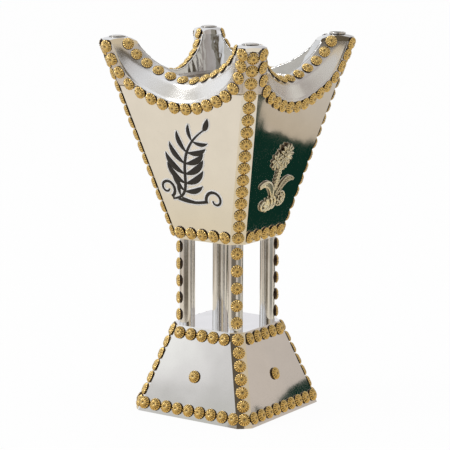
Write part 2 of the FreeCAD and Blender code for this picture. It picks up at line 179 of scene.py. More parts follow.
def wood_material():
    """Plain sawn board, with rings stretched along the grain."""
    mat, tree, shader = material("sawn_wood")
    link = tree.links.new
    place = node(tree, "ShaderNodeTexCoord")
    stretch = node(tree, "ShaderNodeMapping", in_Scale=(160.0, 160.0, 12.0))
    link(place.outputs["Object"], stretch.inputs["Vector"])
    grain = node(tree, "ShaderNodeTexNoise", in_Scale=1.0, in_Detail=6.0, in_Roughness=0.65)
    link(stretch.outputs["Vector"], grain.inputs["Vector"])
    tone = ramp(tree, [(0.3, (0.20, 0.11, 0.055)), (0.7, (0.42, 0.27, 0.15))])
    link(grain.outputs["Fac"], tone.inputs["Fac"])
    link(tone.outputs["Color"], shader.inputs["Base Color"])
    bump = node(tree, "ShaderNodeBump", in_Strength=0.4, in_Distance=0.0002)
    link(grain.outputs["Fac"], bump.inputs["Height"])
    link(bump.outputs["Normal"], shader.inputs["Normal"])
    shader.inputs["Roughness"].default_value = 0.75
    return mat


def pan_material():
    """Brushed pan, browned by heat in clouds."""
    mat, tree, shader = material("heated_pan")
    link = tree.links.new
    place = node(tree, "ShaderNodeTexCoord")
    stretch = node(tree, "ShaderNodeMapping", in_Scale=(40.0, 1500.0, 300.0))
    link(place.outputs["Object"], stretch.inputs["Vector"])
    hair = node(tree, "ShaderNodeTexNoise", in_Scale=1.0, in_Detail=3.0)
    link(stretch.outputs["Vector"], hair.inputs["Vector"])
    cloud = node(tree, "ShaderNodeTexNoise", in_Scale=45.0, in_Detail=5.0, in_Roughness=0.65)
    link(place.outputs["Object"], cloud.inputs["Vector"])
    tone = ramp(tree, [(0.3, (0.30, 0.26, 0.23)), (0.55, (0.48, 0.45, 0.42)), (0.75, (0.58, 0.56, 0.54))])
    link(cloud.outputs["Fac"], tone.inputs["Fac"])
    link(tone.outputs["Color"], shader.inputs["Base Color"])
    bump = node(tree, "ShaderNodeBump", in_Strength=0.25, in_Distance=0.00005)
    link(hair.outputs["Fac"], bump.inputs["Height"])
    link(bump.outputs["Normal"], shader.inputs["Normal"])
    shader.inputs["Metallic"].default_value = 1.0
    shader.inputs["Roughness"].default_value = 0.38
    return mat


def paint_material(name, colour, rough):
    """Thick printed colour with a slight unevenness."""
    mat, tree, shader = material(name)
    link = tree.links.new
    place = node(tree, "ShaderNodeTexCoord")
    cloud = node(tree, "ShaderNodeTexNoise", in_Scale=300.0, in_Detail=3.0)
    link(place.outputs["Object"], cloud.inputs["Vector"])
    tone = ramp(tree, [(0.3, tuple(c * 0.8 for c in colour)), (0.7, colour)])
    link(cloud.outputs["Fac"], tone.inputs["Fac"])
    link(tone.outputs["Color"], shader.inputs["Base Color"])
    bump = node(tree, "ShaderNodeBump", in_Strength=0.2, in_Distance=0.00005)
    link(cloud.outputs["Fac"], bump.inputs["Height"])
    link(bump.outputs["Normal"], shader.inputs["Normal"])
    shader.inputs["Roughness"].default_value = rough
    return mat


STEEL = (0.90, 0.89, 0.88)
steel_panel = steel_material("steel_panel", STEEL, 0.045, (26.0, 26.0, 26.0), 0.00020, 0.04)
steel_trim = steel_material("steel_trim", STEEL, 0.06, (40.0, 40.0, 40.0), 0.00006, 0.06)
steel_cove = steel_material("steel_cove", STEEL, 0.20, (90.0, 90.0, 90.0), 0.00007, 0.05)
steel_wrap = steel_material("steel_wrap", (0.84, 0.79, 0.76), 0.28, (70.0, 70.0, 70.0), 0.00012, 0.08)
# The lining is a darker copy of the sheet steel: painted shade for the inside of the hearth.
steel_lining = steel_material("steel_lining", (0.74, 0.74, 0.74), 0.07, (120.0, 120.0, 7.0), 0.00130, 0.12)
steel_tube = steel_material("steel_tube", (0.86, 0.86, 0.87), 0.10, (60.0, 60.0, 60.0), 0.00003, 0.08)
steel_ledge = steel_material("steel_ledge", (0.50, 0.45, 0.43), 0.20, (40.0, 40.0, 40.0), 0.00008, 0.15)
# The deep colour of each gold finish is the colour of its painted shade.
gold_nail = gold_material("gold_nail", (1.0, 0.69, 0.22), (0.045, 0.018, 0.003), 0.17, 0.00007, 0.90)
gold_flower = gold_material("gold_flower", (1.0, 0.92, 0.66), (0.07, 0.038, 0.010), 0.12, 0.00006, 0.84)
button_steel = gold_material("button_steel", (0.88, 0.84, 0.78), (0.020, 0.014, 0.010), 0.16, 0.00004, 1.0)
wood = wood_material()
pan_steel = pan_material()
ornament_black = paint_material("ornament_black", (0.012, 0.010, 0.010), 0.35)
ornament_edge = paint_material("ornament_edge", (0.86, 0.84, 0.80), 0.40)
# Dark strip under each horn wrap: painted shadow of the seam gap.
seam_grime = paint_material("seam_grime", (0.07, 0.06, 0.05), 0.60)


def finish_for(name):
    """The material of a solid that stays."""
    if name.endswith(("nails", "buttons")):
        return gold_nail
    if name.startswith("flower"):
        return gold_flower
    if name == "charcoal_pan":
        return pan_steel
    if name == "hearth_ledge":
        return steel_ledge
    if name == "hearth_lining":
        return steel_lining
    if name.startswith("post_sleeve"):
        return steel_tube
    if "panel" in name:
        return steel_panel
    if name.startswith(("base_corner", "base_top", "bowl_corner", "bowl_bottom", "horn_cap")):
        return steel_trim
    return wood


for name, solid in nodes.items():
    solid.data.materials.clear()
    solid.data.materials.append(finish_for(name))


# Mesh helpers

def make(name, points, faces, mat, painted_shade=None):
    """A smooth mesh piece in metres that rides on the burner."""
    mesh = bpy.data.meshes.new(name)
    mesh.from_pydata([tuple(p) for p in points], [], [tuple(f) for f in faces])
    mesh.update()
    mesh.shade_smooth()
    mesh.materials.append(mat)
    if painted_shade is not None:
        layer = mesh.attributes.new("painted_shade", "FLOAT", "POINT")
        layer.data.foreach_set("value", np.asarray(painted_shade, np.float32))
    piece = bpy.data.objects.new(name, mesh)
    bpy.context.scene.collection.objects.link(piece)
    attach(piece, "burner")
    return piece


def grid_faces(rows, columns, closed=False):
    """Quads between rows of points."""
    span = columns if closed else columns - 1
    return [(r * columns + c, r * columns + (c + 1) % columns,
             (r + 1) * columns + (c + 1) % columns, (r + 1) * columns + c)
            for r in range(rows - 1) for c in range(span)]


def islands(mesh):
    """The points of each separate solid of a mesh."""
    count = len(mesh.vertices)
    co = np.zeros(count * 3)
    mesh.vertices.foreach_get("co", co)
    co = co.reshape(-1, 3)
    keys = {}
    same = np.zeros(count, int)
    for i, key in enumerate(map(tuple, np.round(co * 1e6).astype(int))):
        same[i] = keys.setdefault(key, i)
    parent = list(range(count))

    def root(i):
        while parent[i] != i:
            parent[i] = parent[parent[i]]
            i = parent[i]
        return i
    for edge in mesh.edges:
        a, b = root(same[edge.vertices[0]]), root(same[edge.vertices[1]])
        if a != b:
            parent[a] = b
    groups = {}
    for i in set(same.tolist()):
        groups.setdefault(root(i), []).append(i)
    return [co[g] for g in groups.values()]


def nail_seats(mesh):
    """Foot centre and outward axis of each round head in a mesh."""
    seats = []
    for cloud in islands(mesh):
        middle = (cloud.min(0) + cloud.max(0)) / 2
        axis = np.linalg.eigh(np.cov((cloud - cloud.mean(0)).T))[1][:, 0]
        along = (cloud - middle) @ axis
        across = (cloud - middle) - np.outer(along, axis)
        reach = np.linalg.norm(across - (across.min(0) + across.max(0)) / 2, axis=1)
        if along[reach > 0.97 * reach.max()].mean() > along[reach < 0.6 * reach.max()].mean():
            axis, along = -axis, -along
        centre = middle + (across.min(0) + across.max(0)) / 2
        seats.append((centre + axis * along.min(), axis, reach.max()))
    return seats


# Nail head: a dome with radial petals round a small boss, on a narrower skirt painted dark as the shadow
# under the head

NAIL_HIGH = 0.62
PETALS, SPOKES_PER_PETAL = 14, 4
GROOVE_SHARP, GROOVE_SHADE = 1.4, 2.7
NOTCH_DEEP, NOTCHED_RINGS = 0.09, range(7, 11)
HEAD_TILT = 0.04
HEAD_SHARES = (0.0, 0.12, 0.21, 0.30, 0.38, 0.52, 0.68, 0.82, 0.92, 0.98, 1.0, 0.97, 0.88, 0.86)
HEAD_HEIGHTS = (0.80, 0.83, 0.92, 0.97, 1.0, 0.97, 0.88, 0.74, 0.58, 0.45, 0.36, 0.32, 0.29, 0.0)
HEAD_CARVE = (0, 0, 0, 0, 0.10, 0.26, 0.42, 0.40, 0.24, 0.12, 0.02, 0, 0, 0)
# HEAD_SHADE is painted shade for each ring: dark in the centre dimple and on the skirt under the head.
# GROOVE_SHADE darkens the petal slots as painted shade.
HEAD_SHADE = (0.75, 0.7, 0.55, 0.25, 0, 0, 0, 0, 0, 0, 0.4, 1, 1, 1)


def nail_head():
    """Points, faces and painted shade of a head of radius 1 that stands on z = 0; the shade is painted into
    the petal slots, the centre dimple and the skirt.
    """
    spokes = PETALS * SPOKES_PER_PETAL
    points, painted_shade = [(0, 0, HEAD_HEIGHTS[0] * NAIL_HIGH)], [HEAD_SHADE[0]]
    for ring, (share, height, deep) in enumerate(zip(HEAD_SHARES, HEAD_HEIGHTS, HEAD_CARVE)):
        for s in range(spokes if ring else 0):
            turn = 2 * math.pi * s / spokes
            wave = (0.5 - 0.5 * math.cos(PETALS * turn)) ** GROOVE_SHARP
            reach = share * (1 - NOTCH_DEEP * wave * (ring in NOTCHED_RINGS))
            up = (height - deep * wave) * NAIL_HIGH
            points.append((reach * math.cos(turn), reach * math.sin(turn), up))
            # Painted shade: the deeper a slot is carved, the darker it is painted, on top of the ring's
            # painted shade.
            painted_shade.append(min(1.0, wave * deep * GROOVE_SHADE + HEAD_SHADE[ring]))
    faces = [(0, 1 + s, 1 + (s + 1) % spokes) for s in range(spokes)]
    rings = len(HEAD_SHARES) - 1
    for r in range(rings - 1):
        a, b = 1 + r * spokes, 1 + (r + 1) * spokes
        for s in range(spokes):
            t = (s + 1) % spokes
            faces.append((a + s, b + s, b + t, a + t))
    last = 1 + (rings - 1) * spokes
    faces.append(tuple(last + s for s in reversed(range(spokes))))
    return np.array(points), faces, painted_shade


def frame_of(axis, spin):
    """A turn that takes +Z to the axis, spun about it."""
    z = Vector(axis).normalized()
    x = Vector((0, 0, 1)).cross(z)
    x = x.normalized() if x.length > 0.01 else Vector((1, 0, 0))
    y = z.cross(x)
    turn = Matrix((x, y, z)).transposed()
    return np.array(turn @ Matrix.Rotation(spin, 3, "Z"))


def dress_nails():
    """Every plain nail head gets an embossed one in its place."""
    head, head_faces, head_painted_shade = nail_head()
    rng = random.Random(7)
    for name in sorted(n for n in nodes if n.endswith("nails")):
        points, faces, painted_shade = [], [], []
        for foot, axis, radius in nail_seats(nodes[name].data):
            tilt = np.array([rng.uniform(-1, 1) for _ in range(3)]) * HEAD_TILT
            turn = frame_of(axis + tilt, rng.uniform(0, 2 * math.pi))
            start = len(points)
            points.extend(head * radius @ turn.T + foot)
            faces.extend(tuple(start + i for i in face) for face in head_faces)
            painted_shade.extend(head_painted_shade)
        piece = make("embossed_" + name, points, faces, gold_nail, painted_shade=painted_shade)
        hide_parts(name)


dress_nails()


# Cap buttons: low domes in a seat painted dark as shade, and an open ring on the back right horn whose inside
# is painted dark as shade

# The third column of each profile is painted shade: dark at the seat, in a ring round the dome, and inside
# the open ring.
BUTTON_DOME = ((1.0, 0.0, 1.0), (1.0, 0.30, 0.5), (0.97, 0.44, 0.0), (0.90, 0.48, 0.1), (0.86, 0.40, 1.0),
               (0.80, 0.40, 1.0), (0.74, 0.60, 0.3), (0.60, 0.80, 0.0), (0.36, 0.95, 0.0), (0.12, 1.0, 0.0))
BUTTON_RING = ((1.0, 0.0, 1.0), (1.0, 0.60, 0.3), (0.98, 0.90, 0.0), (0.93, 1.0, 0.0), (0.88, 0.92, 0.4),
               (0.86, 0.60, 1.0), (0.84, 0.25, 1.0), (0.50, 0.20, 1.0), (0.10, 0.20, 1.0))


BUTTON_SPOKES = 40


def dress_buttons():
    """A seated button on each horn's cap."""
    spokes = BUTTON_SPOKES
    points, faces, painted_shade = [], [], []
    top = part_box("horn_buttons")[1][2]
    for foot, _, radius in nail_seats(nodes["horn_buttons"].data):
        profile = BUTTON_RING if foot[0] > 0 and foot[1] > 0 else BUTTON_DOME
        start = len(points)
        for share, height, deep in profile:
            for k in range(spokes):
                a = 2 * math.pi * k / spokes
                reach = share * radius
                place = (math.cos(a) * reach, math.sin(a) * reach, height * (top - foot[2]))
                points.append(foot + np.array(place))
                painted_shade.append(deep)
        faces += [tuple(start + i for i in f) for f in grid_faces(len(profile), spokes, True)]
        faces.append(tuple(start + (len(profile) - 1) * spokes + k for k in range(spokes)))
    piece = make("seated_horn_buttons", points, faces, button_steel, painted_shade=painted_shade)
    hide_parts("horn_buttons")


dress_buttons()


# Places on the bowl

def turned(points, side):
    """Points of the front turned to another side, in metres."""
    a = math.pi / 2 * side
    spin = np.array(((math.cos(a), math.sin(a), 0), (-math.sin(a), math.cos(a), 0), (0, 0, 1)))
    return np.asarray(points, float) @ spin * MM


def bowl_half(z):
    """Half the width of the bowl at a height."""
    return BOWL_BOTTOM + (z - BOWL_LOW) * math.tan(BOWL_SLOPE)


def base_half(z):
    """Half the width of the base at a height."""
    return BASE_BOTTOM + (BASE_TOP - BASE_BOTTOM) * z / BASE_HIGH


def on_bowl(places, side):
    """Places (across, up the slope from the bowl's foot, out of the sheet) as points in metres."""
    places = np.asarray(places, float)
    sine, cosine = math.sin(BOWL_SLOPE), math.cos(BOWL_SLOPE)
    across, up, out = places.T
    away = BOWL_BOTTOM + up * sine + out * cosine
    return turned(np.stack((across, -away, BOWL_LOW + up * cosine - out * sine), 1), side)


def spline(points, places):
    """A smooth line through evenly spaced points, read at places from 0 to their count less one."""
    points = np.asarray(points, float)
    count = len(points)
    bend = np.zeros((count, count))
    pull = np.zeros(points.shape)
    bend[0, 0] = bend[-1, -1] = 1
    for i in range(1, count - 1):
        bend[i, i - 1:i + 2] = (1, 4, 1)
        pull[i] = 6 * (points[i - 1] - 2 * points[i] + points[i + 1])
    curl = np.linalg.solve(bend, pull)
    places = np.asarray(places, float)
    start = np.clip(places.astype(int), 0, count - 2)
    b = (places - start)[:, None]
    a = 1 - b
    return (a * points[start] + b * points[start + 1]
            + ((a ** 3 - a) * curl[start] + (b ** 3 - b) * curl[start + 1]) / 6)


def rim_lines():
    """Outer edge, crease and inner edge of the front rim, from horn to horn."""
    def both(half):
        return [(-x, y, z) for x, y, z in reversed(half[1:])] + half
    flare = FLARE_SHARES
    outer = [(OUT_REACH[0] * x, -bowl_half(RIM_LOW + OUT_REACH[1] * z), RIM_LOW + OUT_REACH[1] * z)
             for x, z in zip(*OUT_SHARES)]
    depth = BOWL_TOP - CREASE_DEEP
    crease = [(CREASE_REACH[0] * x, -(depth + CREASE_FLARE * f), RIM_LOW + BAND_HIGH + CREASE_REACH[1] * z)
              for x, z, f in zip(*CREASE_SHARES, flare)]
    low = RIM_LOW + BAND_HIGH + STRIP_RISE
    inner = [(INNER_REACH[0] * x, -(depth - STRIP_WIDE + INNER_FLARE * f), low + INNER_REACH[1] * z)
             for x, z, f in zip(*INNER_SHARES, flare)]
    return both(outer), both(crease), both(inner)


def hearth_gap(x, y, z):
    """How far a point stands outside the lining, seen from above."""
    share = (z - LEDGE_TOP) / (HEARTH_TOP - LEDGE_TOP)
    half = HEARTH_HALF + HEARTH_FLARE * share
    bend = HEARTH_CORNERS[0] + (HEARTH_CORNERS[1] - HEARTH_CORNERS[0]) * share
    dx, dy = abs(x) - half + bend, abs(y) - half + bend
    return math.hypot(max(dx, 0), max(dy, 0)) + min(max(dx, dy), 0) - bend


# Rim bands: the outer band and the nailed strip flow into each other over a soft crease

SOFT_SHARE = 0.22
COVE_ALONG, COVE_ACROSS = 121, 15
HEM = 1.1


def cove_row(outer, crease, inner):
    """Points across the rim at one place, from under the outer edge to inside the lining."""
    past = inner
    step = (inner - crease) * 0.05
    for _ in range(60):
        if hearth_gap(*past) <= 0:
            break
        past = past + step
    a, b = crease + (outer - crease) * SOFT_SHARE, crease + (past - crease) * SOFT_SHARE * 1.6
    third = COVE_ACROSS // 3
    first = [outer + (a - outer) * t for t in np.linspace(0, 1, third, endpoint=False)]
    bend = [a * (1 - t) ** 2 + crease * 2 * t * (1 - t) + b * t * t for t in np.linspace(0, 1, third)]
    last = [b + (past - b) * t for t in np.linspace(0, 1, third + 1)[1:]]
    lift = np.array((0, -0.12, 0.12))
    hem = outer + np.array((0, -0.45, -HEM))
    tuck = past + np.array((0, 0, -HEM))
    return [hem, outer + np.array((0, -0.5, -0.1))] + [p + lift for p in first + bend + last] + [tuck]


def rim_band():
    """Rows of points of the front rim band, cut level under the caps."""
    lines = [np.array(line) for line in rim_lines()]
    middle, last = (len(lines[0]) - 1) / 2, len(lines[0]) - 1
    fine = np.linspace(middle, last, 400)
    ends = []
    for line in lines:
        heights = spline(line, fine)[:, 2]
        ends.append((np.interp(CAP_LOW, heights, fine) - middle) if heights[-1] > CAP_LOW else last - middle)
    shares = np.linspace(-1, 1, COVE_ALONG)
    outer, crease, inner = (spline(line, middle + shares * end) for line, end in zip(lines, ends))
    rows = [cove_row(o, c, i) for o, c, i in zip(outer, crease, inner)]
    return np.array(rows)


def add_rims():
    """A smooth cove for each rim band."""
    rows = rim_band()
    count, width = rows.shape[:2]
    for side, face in enumerate(FACES):
        piece = make("rim_cove_" + face, turned(rows.reshape(-1, 3), side), grid_faces(count, width),
                     steel_cove)
        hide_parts("rim_band_" + face)


add_rims()


# Horn wraps: a separate sheet folded round each horn, with a thin dark strip under its lower edge that is
# painted shadow of the seam

WRAP_LOW = 299.0
WRAP_OUT, WRAP_SOFT = 0.35, 0.9
WRAP_ROWS = 26
LIP_AT, LIP_WIDE, LIP_OUT = 0.90, 0.05, 0.75
TUCK_AT, TUCK_IN = 0.93, 3.5
SEAM_HIGH = 0.5
ROLL_OUT = 0.55


def wrap_row(z, outer_at, out):
    """Points round the front right horn at one height, from rim edge to rim edge."""
    half = bowl_half(z) + out
    fold = half - CORNER_FOLD
    soft = WRAP_SOFT
    start = (outer_at, -half)
    one = [start, ((start[0] + fold) / 2, -half), (fold - soft, -half), (fold, -half + 0.12),
           (fold + soft * 0.7, -half + soft * 0.7)]
    middle = []
    for share in (0.3, 0.5, 0.7):
        roll = ROLL_OUT * math.sin(math.pi * share) / math.sqrt(2)
        middle.append((fold + CORNER_FOLD * share + roll, -half + CORNER_FOLD * share - roll))
    other = [(-y, -x) for x, y in reversed(one)]
    return [(x, y, z) for x, y in one + middle + other]


def add_wraps():
    """The wrap of each horn."""
    outer = np.array(rim_lines()[0])
    fine = spline(outer, np.linspace((len(outer) - 1) / 2, len(outer) - 1, 400))
    rows = [wrap_row(WRAP_LOW + 0.2, float(np.interp(WRAP_LOW, fine[:, 2], fine[:, 0])), 0.02)]
    for share in np.linspace(0, 1, WRAP_ROWS):
        z = WRAP_LOW + (CAP_LOW + 1.2 - WRAP_LOW) * share
        out = WRAP_OUT + LIP_OUT * math.exp(-((share - LIP_AT) / LIP_WIDE) ** 2)
        if share >= TUCK_AT:
            out = out - TUCK_IN * (share - TUCK_AT) / (1 - TUCK_AT)
        rows.append(wrap_row(z, float(np.interp(z, fine[:, 2], fine[:, 0])), out))
    # The seam strip is a dark painted shadow just below the wrap's lower edge.
    seam = [p for z in (WRAP_LOW - SEAM_HIGH, WRAP_LOW + 0.25) for p in wrap_row(z, rows[0][0][0], 0.08)]
    points = np.array(rows)
    count, width = points.shape[:2]
    for side, corner in enumerate(CORNERS):
        make("horn_wrap_" + corner, turned(points.reshape(-1, 3), side), grid_faces(count, width),
             steel_wrap)
        make("horn_wrap_seam_shadow_" + corner, turned(seam, side), grid_faces(2, width), seam_grime)


add_wraps()


# Corner strips: the same sheets with a slight roll across them

ROLL_ROWS, ROLL_COLUMNS = 30, 11


def add_corner_strips(name, half_at, low, high):
    """A rolled strip on each cut corner between two heights."""
    rows = []
    for z in np.linspace(low, high, ROLL_ROWS):
        half = half_at(z)
        start, end = np.array((half - CORNER_FOLD, -half)), np.array((half, CORNER_FOLD - half))
        for share in np.linspace(0, 1, ROLL_COLUMNS):
            out = ROLL_OUT * math.sin(math.pi * share) + 0.05
            x, y = start + (end - start) * share + np.array((1, -1)) * out / math.sqrt(2)
            rows.append((x, y, z))
    for side, corner in enumerate(CORNERS):
        piece = make("rolled_" + name + corner, turned(rows, side),
                     grid_faces(ROLL_ROWS, ROLL_COLUMNS), steel_trim)
        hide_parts(name + corner)


add_corner_strips("bowl_corner_strip_", bowl_half, BOWL_LOW + SHEET, CAP_LOW)
add_corner_strips("base_corner_strip_", base_half, 0, BASE_HIGH - SHEET)


# Curved strokes on the bowl: a section swept along a line, in places on the sheet

def bezier(controls, count):
    """Places along one smooth line from the first control to the last."""
    t = np.linspace(0, 1, count)[:, None]
    lines = [np.repeat(np.array(c, float)[None], count, 0) for c in controls]
    while len(lines) > 1:
        lines = [a * (1 - t) + b * t for a, b in zip(lines, lines[1:])]
    return lines[0]


def spiral(centre, start_r, end_r, start_turn, end_turn, count):
    """Places along a coil, its turns in degrees."""
    turn = np.radians(np.linspace(start_turn, end_turn, count))
    reach = np.linspace(start_r, end_r, count)
    return np.stack((centre[0] + reach * np.cos(turn), centre[1] + reach * np.sin(turn)), 1)


class Relief:
    """Collects raised strokes and beads, as places (across, up, out) with faces and the painted shade in
    their hollows.
    """

    def __init__(self):
        self.places, self.faces, self.painted_shade = [], [], []

    def add(self, places, faces, painted_shade):
        """Places with the faces and painted shade that belong to them."""
        start = len(self.places)
        self.places.extend(tuple(p) for p in places)
        self.faces.extend(tuple(start + i for i in f) for f in faces)
        self.painted_shade.extend(painted_shade)

    def stroke(self, line, widths, section, base=0.0, lift=0.0):
        """A section of (share across, height, painted shade) swept along a line of places."""
        line = np.asarray(line, float)
        step = np.gradient(line, axis=0)
        step /= np.maximum(np.linalg.norm(step, axis=1, keepdims=True), 1e-6)
        side = np.stack((-step[:, 1], step[:, 0]), 1)
        widths = np.broadcast_to(widths, len(line))
        base = np.broadcast_to(base, len(line))
        lift = np.broadcast_to(lift, len(line))
        full = max(widths)
        places, painted_shade = [], []
        for point, across, width, low, up in zip(line, side, widths, base, lift):
            thick = min(1.0, 0.35 + width / full)
            for share, height, deep in section:
                x, y = point + across * share * width / 2
                places.append((x, y, low + up + height * thick if height else 0.0))
                painted_shade.append(deep)
        columns, rows = len(section), len(line)
        faces = grid_faces(rows, columns)
        faces.append(tuple(reversed(range(columns))))
        faces.append(tuple((rows - 1) * columns + c for c in range(columns)))
        self.add(places, faces, painted_shade)

    def bead(self, across, up, radius, base=0.0, high=1.0):
        """A small round bead."""
        spokes, levels = 8, (0.0, 0.45, 0.8)
        places = [(across, up, base + radius * high)]
        for level in reversed(levels):
            reach = radius * math.cos(level * math.pi / 2)
            for s in range(spokes):
                turn = 2 * math.pi * s / spokes
                places.append((across + reach * math.cos(turn), up + reach * math.sin(turn),
                               base + radius * high * math.sin(level * math.pi / 2)))
        faces = [(0, 1 + s, 1 + (s + 1) % spokes) for s in range(spokes)]
        for r in range(len(levels) - 1):
            a, b = 1 + r * spokes, 1 + (r + 1) * spokes
            faces += [(a + s, b + s, b + (s + 1) % spokes, a + (s + 1) % spokes) for s in range(spokes)]
        # Painted shade: the bead is painted darker towards its foot.
        self.add(places, faces, [0.0] * (1 + spokes) + [0.35] * spokes + [1.0] * spokes)

    def pieces(self, name, sides, mat, slot):
        """One mesh piece of the relief on the given sides."""
        points = np.concatenate([on_bowl(self.places, side) for side in sides])
        count = len(self.places)
        faces = [tuple(k * count + i for i in f) for k in range(len(sides)) for f in self.faces]
        return make(name, points, faces, mat, painted_shade=self.painted_shade * len(sides))


# The third column of each section is painted shade, dark at the foot of a stroke and in its hollows.
LEAF_SECTION = ((-1, 0, 1), (-1, 0.55, 0.5), (-0.8, 0.9, 0.1), (-0.35, 0.75, 0.5), (0, 1.0, 0.1),
                (0.35, 0.75, 0.5), (0.8, 0.9, 0.1), (1, 0.55, 0.5), (1, 0, 1))
PETAL_SECTION = ((-1, 0, 1), (-0.9, 0.6, 0.6), (-0.5, 1.0, 0.0), (0, 0.72, 0.75), (0.5, 1.0, 0.0),
                 (0.9, 0.6, 0.6), (1, 0, 1))
WIRE_SECTION = ((-1, 0, 1), (-0.85, 0.55, 0.4), (-0.4, 0.92, 0), (0, 1.0, 0),
                (0.4, 0.92, 0), (0.85, 0.55, 0.4), (1, 0, 1))


def scaled(section, high):
    """A section with its heights in millimetres."""
    return [(share, height * high, deep) for share, height, deep in section]


def daisy(relief, across, up, reach, base, petals, spin, high, boss, inner_ring=True):
    """One or two rings of pointed petals round a boss."""
    rings = [(0.30, 1.0, base, petals)]
    if inner_ring:
        rings.append((0.14, 0.54, base + high * 0.5, petals - 4))
    for ring, (inner, outer, low, count) in enumerate(rings):
        width = 2 * math.pi * outer * reach * 0.64 / count
        for k in range(count):
            turn = spin + 2 * math.pi * (k + 0.5 * ring) / count
            way = np.array((math.cos(turn), math.sin(turn)))
            shares = np.linspace(0, 1, 8)
            line = np.array((across, up)) + way * reach * (inner + (outer - inner) * shares)[:, None]
            widths = width * np.array((0.40, 0.66, 0.88, 1.0, 0.98, 0.84, 0.58, 0.16))
            bow = high * 0.45 * np.sin(shares * math.pi * 0.8)
            relief.stroke(line, widths, scaled(PETAL_SECTION, 1.2), low, bow)
    relief.bead(across, up, boss, base + high * 0.9, 0.9)


def flower_head():
    """The main daisy, a lower one beside it and a small one under it."""
    relief = Relief()
    daisy(relief, -8.6, 77.4, 8.8, 0.2, 9, 0.3, 1.2, 1.5)
    daisy(relief, 4.4, 73.4, 5.6, 0.3, 8, 0.0, 1.1, 1.2, False)
    daisy(relief, 2.6, 82.4, 11.0, 1.5, 12, 0.1, 1.8, 2.5)
    return relief


def flower_growth():
    """The beaded stem, the grained right leaf and the polished left leaf."""
    relief = Relief()
    stem = bezier(((-0.6, 74.0), (-1.8, 62.0), (-3.2, 45.0)), 19)
    relief.stroke(stem, 7.2, scaled(WIRE_SECTION, 1.3))
    rows = bezier(((-0.6, 74.0), (-1.8, 62.0), (-3.0, 50.0)), 15)
    for k, (x, y) in enumerate(rows):
        for shift in ((-2.3, 0.0, 2.3) if k % 2 else (-1.2, 1.2)):
            relief.bead(x + shift, y, 1.25, 1.0, 1.1)
    knot = bezier(((-3.0, 51.0), (-3.2, 47.0), (-3.0, 42.5)), 7)
    relief.stroke(knot, (5.0, 5.6, 5.8, 5.4, 4.6, 3.4, 1.6), scaled(PETAL_SECTION, 2.4))
    right = bezier(((1.5, 43.0), (7.0, 52.5), (15.5, 62.5), (27.5, 55.5)), 21)
    widths = 6.4 * np.sin(np.linspace(0.35, 3.05, 21)) ** 0.6
    # The leaf's third column is painted shade, dark at its edges and in its middle hollow.
    relief.stroke(right, widths, scaled(((-1, 0, 1), (-1, 0.9, 0.3), (-0.86, 1.1, 0.1), (-0.7, 0.7, 0.9),
                                         (0.7, 0.7, 0.9), (0.86, 1.1, 0.1), (1, 0.9, 0.3), (1, 0, 1)), 1.6))
    rng = random.Random(11)
    for k in range(1, 20):
        step = right[min(k + 1, 20)] - right[k - 1]
        side = np.array((-step[1], step[0])) / np.linalg.norm(step)
        for share in (-0.5, -0.17, 0.17, 0.5):
            loose = (rng.uniform(-0.2, 0.2), rng.uniform(-0.3, 0.3))
            x, y = right[k] + side * share * widths[k] / 1.7 + loose
            relief.bead(x, y, 0.55, 1.05, 1.0)
    left = bezier(((-1.5, 40.0), (-5.5, 47.0), (-10.5, 58.5), (-18.5, 59.0), (-27.0, 54.0)), 23)
    widths = 6.8 * (0.45 + 0.55 * np.sin(np.linspace(0.3, 2.9, 23)))
    relief.stroke(left, widths, scaled(LEAF_SECTION, 1.5), 0, 0.7 * np.sin(np.linspace(0, 3.0, 23)))
    relief.bead(-21.6, 56.2, 2.1, 0.9, 0.8)
    relief.bead(-26.2, 54.0, 1.6, 0.6, 0.8)
    return relief


def flower_foot():
    """The coil, the crescents and the rosette that the flower grows from."""
    relief = Relief()
    coil = spiral((-14.8, 36.0), 6.0, 1.7, 60, -420, 50)
    relief.stroke(coil, np.linspace(2.9, 2.1, 50), scaled(WIRE_SECTION, 1.6), 0, np.linspace(0.2, 0.9, 50))
    relief.bead(-14.8, 36.0, 1.9, 0.9)
    for place, foot, bow in ((-8.4, 35.2, 3.2), (-3.6, 36.0, 3.4), (1.4, 36.8, 3.0)):
        arc = bezier(((place - 3.4, foot + 6.2), (place + bow, foot + 4.6), (place + bow, foot - 4.4),
                      (place - 3.4, foot - 5.4)), 13)
        relief.stroke(arc, 3.0 * np.sin(np.linspace(0.35, 2.8, 13)) ** 0.5, scaled(WIRE_SECTION, 1.8), 0, 0.4)
    daisy(relief, 10.6, 39.6, 6.0, 0.3, 8, 0.2, 1.3, 1.6, False)
    rim = spiral((10.6, 39.6), 6.8, 6.6, -130, 110, 31)
    relief.stroke(rim, 2.0 * np.sin(np.linspace(0.3, 2.85, 31)) ** 0.5, scaled(WIRE_SECTION, 1.7))
    return relief


def add_flower():
    """The raised flower on the right face, and the same on the left one."""
    for name, relief in (("heads", flower_head()), ("leaves", flower_growth()), ("scrolls", flower_foot())):
        piece = relief.pieces("chased_flower_" + name, (1, 3), gold_flower, "flower_gold")
        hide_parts("flower_" + name)


add_flower()


# Leaf ornament on the front and back: satin black leaves, each on a pale outline

LEAF_FLAT = ((-1, 0, 0), (-1, 0.7, 0), (-0.8, 1.0, 0), (0, 1.15, 0), (0.8, 1.0, 0), (1, 0.7, 0), (1, 0, 0))
LEAF_STEPS = 15
OUTLINE_WIDE = 2.6
OUTLINE_HIGH = 0.28
ORNAMENT_HIGH = 0.55


def leaf_line(foot, bend, tip):
    """A leaf's middle line."""
    return bezier((foot, bend, tip), LEAF_STEPS)


def leaf_widths(width):
    """A leaf's widths, pointed at both ends."""
    return width * np.sin(np.linspace(0.12, math.pi - 0.06, LEAF_STEPS)) ** 0.85


